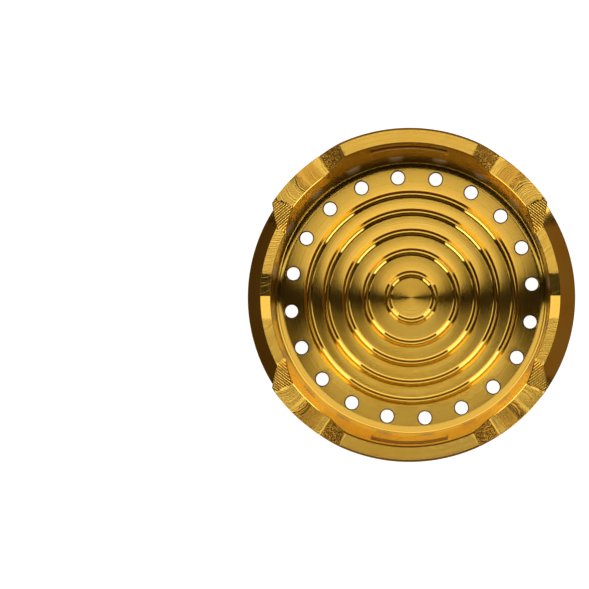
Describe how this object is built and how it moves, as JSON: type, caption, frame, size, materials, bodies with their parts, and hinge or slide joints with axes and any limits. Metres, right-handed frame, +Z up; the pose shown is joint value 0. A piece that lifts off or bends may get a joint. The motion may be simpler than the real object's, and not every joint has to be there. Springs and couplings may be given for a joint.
{
  "type": "charcoal holder",
  "caption": "Round metal cup with a notched crown, a perforated ribbed floor and a grooved double flange, which holds hot charcoal above a water-pipe bowl.",
  "frame": {"origin": "centre of the flat ring that the cup rests on", "axes": "+Z up out of the cup's mouth; the two tall tabs of the crown stand on +Y and -Y and the two low lands lie on +X and -X"},
  "size_m": [0.08, 0.08, 0.0284],
  "materials": {
    "gold_crown": "bright polished gold, with milled and turned tool marks on the cut faces",
    "gold_plate": "gold with fine concentric turning lines",
    "gold_ring": "bright polished gold"
  },
  "bodies": {
    "root": {"crown_body": "gold_crown", "heat_plate": "gold_plate", "base_ring": "gold_ring"}
  },
  "joints": []
}
